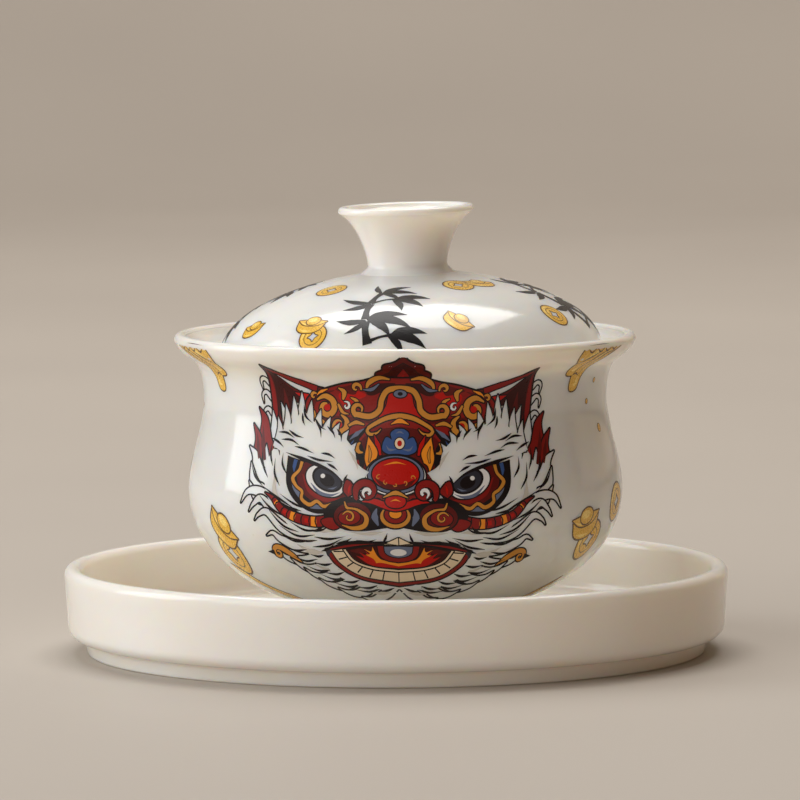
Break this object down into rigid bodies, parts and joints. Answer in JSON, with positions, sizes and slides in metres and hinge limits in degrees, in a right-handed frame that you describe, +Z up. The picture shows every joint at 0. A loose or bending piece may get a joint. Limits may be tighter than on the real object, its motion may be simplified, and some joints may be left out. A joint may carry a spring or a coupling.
{
  "type": "gaiwan",
  "caption": "Lidded porcelain tea bowl with a waisted body and flared rim, domed lid with a flared knob, standing in a wide upright-walled saucer.",
  "frame": {"origin": "centre of the saucer's foot ring, on the surface that the gaiwan stands on", "axes": "+Z is up, along the saucer's own axis; +X runs towards the side where the bowl stands off centre and the lid sits higher; the face of the bowl's decoration looks along -Y"},
  "size_m": [0.138, 0.138, 0.093],
  "materials": {
    "saucer_porcelain": "gloss",
    "bowl_porcelain": "gloss",
    "lid_porcelain": "gloss",
    "overglaze_enamel": "satin",
    "gold_enamel": "satin",
    "ink_enamel": "satin"
  },
  "bodies": {
    "saucer": {"saucer": "saucer_porcelain"},
    "bowl": {"bowl": "bowl_porcelain"},
    "lid": {"lid": "lid_porcelain"}
  },
  "joints": [
    {"name": "bowl_lift", "type": "slide", "parent": "saucer", "child": "bowl", "axis": [0, 0, 1], "range_m": [0, 0.05]},
    {"name": "lid_lift", "type": "slide", "parent": "bowl", "child": "lid", "axis": [0, 0, 1], "range_m": [0, 0.06]}
  ]
}
